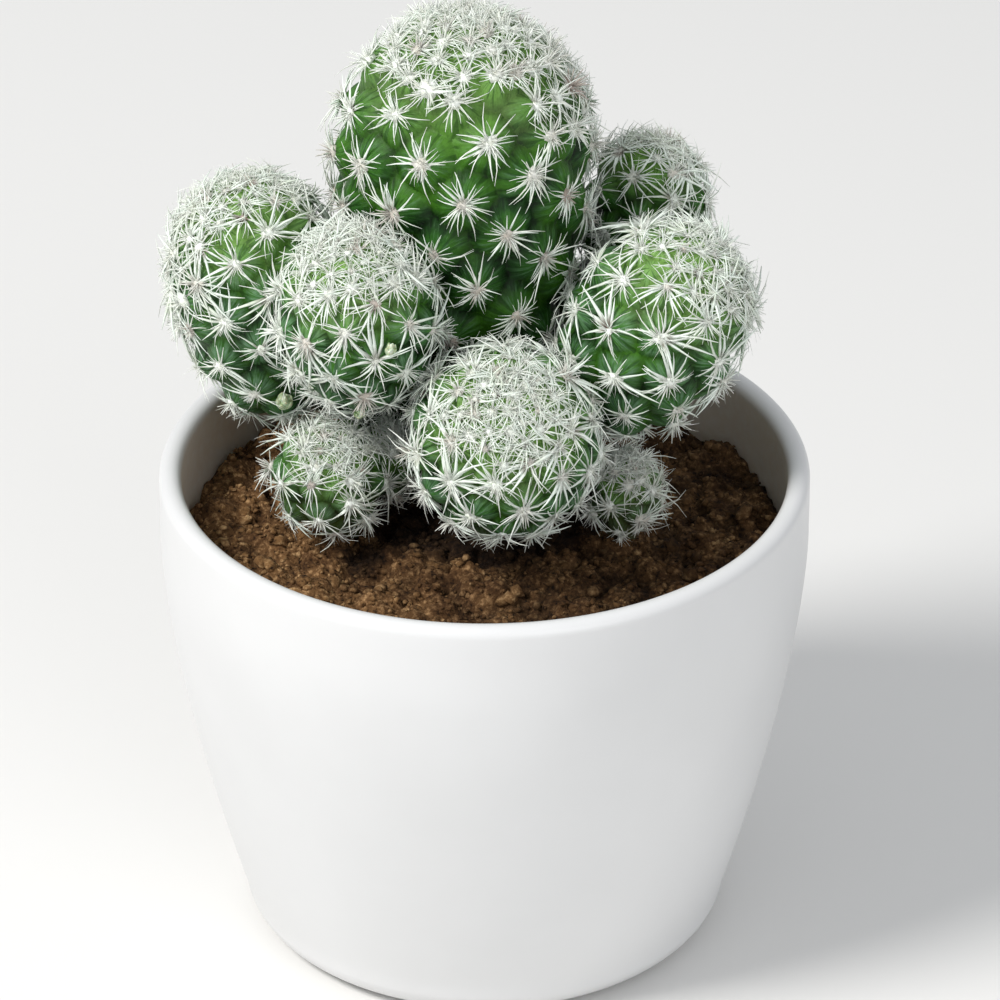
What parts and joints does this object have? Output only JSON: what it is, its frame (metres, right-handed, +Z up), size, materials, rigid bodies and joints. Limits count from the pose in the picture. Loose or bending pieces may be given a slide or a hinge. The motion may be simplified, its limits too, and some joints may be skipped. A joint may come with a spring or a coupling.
{
  "type": "potted thimble cactus",
  "caption": "Clump of round, white-spined thimble cactus heads growing from a main stem in soil, in a plain white ceramic pot that stands on its flat foot.",
  "frame": {"origin": "centre of the pot's foot, on the surface that it stands on", "axes": "+Z up along the pot's axis; the view of the picture looks along +Y, with +X to its right"},
  "size_m": [0.09, 0.09, 0.1345],
  "materials": {
    "glaze": "satin",
    "soil": "matte",
    "cactus": "satin"
  },
  "bodies": {
    "root": {"pot": "glaze", "soil": "soil", "head_main": "cactus", "head_mid_left": "cactus", "head_front": "cactus", "head_right": "cactus", "head_left": "cactus", "head_rear_right": "cactus", "head_rear_left": "cactus", "head_rear": "cactus", "head_low_left": "cactus", "head_low_right": "cactus", "head_inner": "cactus"}
  },
  "joints": []
}
